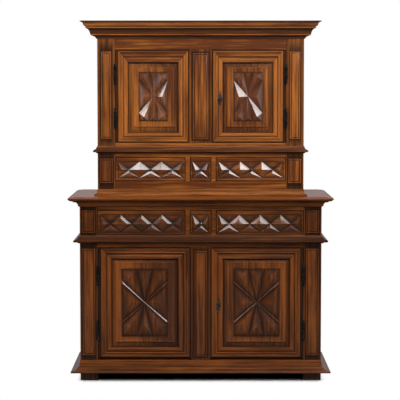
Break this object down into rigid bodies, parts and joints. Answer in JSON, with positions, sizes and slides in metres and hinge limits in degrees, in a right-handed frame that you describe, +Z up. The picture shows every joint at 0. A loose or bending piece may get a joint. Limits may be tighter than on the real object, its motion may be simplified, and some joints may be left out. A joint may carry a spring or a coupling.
{
  "type": "two-part credenza",
  "caption": "Tall two-body walnut cupboard with panelled doors carved in faceted crosses, diamond-point drawers, a moulded worktop, cornice and plinth.",
  "frame": {"origin": "on the floor, under the middle of the object's box", "axes": "+Z up, front towards -Y, +X to the viewer's right"},
  "size_m": [1.492, 0.6, 2.05],
  "materials": {
    "walnut": "waxed, golden brown",
    "walnut_dark": "waxed, darker red brown",
    "iron": "forged, blackened",
    "bronze": "dark, aged"
  },
  "bodies": {
    "carcass": {"lower_plinth": "walnut_dark", "lower_post_left": "walnut_dark", "lower_post_right": "walnut_dark", "lower_side_left": "walnut_dark", "lower_side_right": "walnut_dark", "lower_back": "walnut_dark", "lower_centre_stile": "walnut_dark", "lower_drawer_frame": "walnut_dark", "lower_waist_moulding": "walnut_dark", "worktop": "walnut_dark", "lower_hinge_left_bottom_post_half": "iron", "lower_hinge_left_top_post_half": "iron", "lower_hinge_right_bottom_post_half": "iron", "lower_hinge_right_top_post_half": "iron", "upper_base": "walnut", "upper_post_left": "walnut", "upper_post_right": "walnut", "upper_side_left": "walnut", "upper_side_right": "walnut", "upper_back": "walnut", "upper_centre_stile": "walnut", "upper_drawer_frame": "walnut", "upper_waist_moulding": "walnut", "cornice": "walnut", "upper_hinge_left_bottom_post_half": "iron", "upper_hinge_left_top_post_half": "iron", "upper_hinge_right_bottom_post_half": "iron", "upper_hinge_right_top_post_half": "iron"},
    "lower_left_door": {"lower_door_left_frame": "walnut_dark", "lower_door_left_panel": "walnut_dark", "lower_hinge_left_bottom_door_half": "iron", "lower_hinge_left_top_door_half": "iron"},
    "lower_right_door": {"lower_door_right_frame": "walnut_dark", "lower_door_right_panel": "walnut_dark", "lower_hinge_right_bottom_door_half": "iron", "lower_hinge_right_top_door_half": "iron"},
    "upper_left_door": {"upper_door_left_frame": "walnut", "upper_door_left_panel": "walnut", "upper_hinge_left_bottom_door_half": "iron", "upper_hinge_left_top_door_half": "iron"},
    "upper_right_door": {"upper_door_right_frame": "walnut", "upper_door_right_panel": "walnut", "upper_hinge_right_bottom_door_half": "iron", "upper_hinge_right_top_door_half": "iron"},
    "lower_left_drawer": {"lower_drawer_left": "walnut_dark", "lower_knob_left": "bronze"},
    "lower_centre_drawer": {"lower_drawer_centre": "walnut_dark", "lower_knob_centre": "bronze"},
    "lower_right_drawer": {"lower_drawer_right": "walnut_dark", "lower_knob_right": "bronze"},
    "upper_left_drawer": {"upper_drawer_left": "walnut", "upper_knob_left": "bronze"},
    "upper_centre_drawer": {"upper_drawer_centre": "walnut", "upper_knob_centre": "bronze"},
    "upper_right_drawer": {"upper_drawer_right": "walnut", "upper_knob_right": "bronze"},
    "lower_lock_key": {"lower_key": "iron"},
    "lower_lock_bolt": {"lower_bolt": "iron"},
    "upper_lock_key": {"upper_key": "iron"},
    "upper_lock_bolt": {"upper_bolt": "iron"}
  },
  "joints": [
    {"name": "lower_left_door_swing", "type": "hinge", "parent": "carcass", "child": "lower_left_door", "pos_m": [-0.5855, -0.2498, 0.131], "axis": [0, 0, -1], "range_deg": [0, 110]},
    {"name": "lower_right_door_swing", "type": "hinge", "parent": "carcass", "child": "lower_right_door", "pos_m": [0.5855, -0.2498, 0.131], "axis": [0, 0, 1], "range_deg": [0, 110]},
    {"name": "upper_left_door_swing", "type": "hinge", "parent": "carcass", "child": "upper_left_door", "pos_m": [-0.4865, -0.1778, 1.3592], "axis": [0, 0, -1], "range_deg": [0, 110]},
    {"name": "upper_right_door_swing", "type": "hinge", "parent": "carcass", "child": "upper_right_door", "pos_m": [0.4865, -0.1778, 1.3592], "axis": [0, 0, 1], "range_deg": [0, 110]},
    {"name": "lower_left_drawer_slide", "type": "slide", "parent": "carcass", "child": "lower_left_drawer", "axis": [0, -1, 0], "range_m": [0, 0.34]},
    {"name": "lower_centre_drawer_slide", "type": "slide", "parent": "carcass", "child": "lower_centre_drawer", "axis": [0, -1, 0], "range_m": [0, 0.34]},
    {"name": "lower_right_drawer_slide", "type": "slide", "parent": "carcass", "child": "lower_right_drawer", "axis": [0, -1, 0], "range_m": [0, 0.34]},
    {"name": "upper_left_drawer_slide", "type": "slide", "parent": "carcass", "child": "upper_left_drawer", "axis": [0, -1, 0], "range_m": [0, 0.28]},
    {"name": "upper_centre_drawer_slide", "type": "slide", "parent": "carcass", "child": "upper_centre_drawer", "axis": [0, -1, 0], "range_m": [0, 0.28]},
    {"name": "upper_right_drawer_slide", "type": "slide", "parent": "carcass", "child": "upper_right_drawer", "axis": [0, -1, 0], "range_m": [0, 0.28]},
    {"name": "lower_key_turn", "type": "hinge", "parent": "lower_right_door", "child": "lower_lock_key", "pos_m": [0.1015, -0.2715, 0.433], "axis": [0, 1, 0], "range_deg": [0, 90]},
    {"name": "lower_bolt_slide", "type": "slide", "parent": "lower_right_door", "child": "lower_lock_bolt", "axis": [-1, 0, 0], "range_m": [0, 0.012]},
    {"name": "upper_key_turn", "type": "hinge", "parent": "upper_right_door", "child": "upper_lock_key", "pos_m": [0.1105, -0.1995, 1.6087], "axis": [0, 1, 0], "range_deg": [0, 90]},
    {"name": "upper_bolt_slide", "type": "slide", "parent": "upper_right_door", "child": "upper_lock_bolt", "axis": [-1, 0, 0], "range_m": [0, 0.012]}
  ],
  "couplings": [
    {"joint": "lower_key_turn", "follows": "lower_bolt_slide", "rad_per_m": 130.9},
    {"joint": "upper_key_turn", "follows": "upper_bolt_slide", "rad_per_m": 130.9}
  ]
}
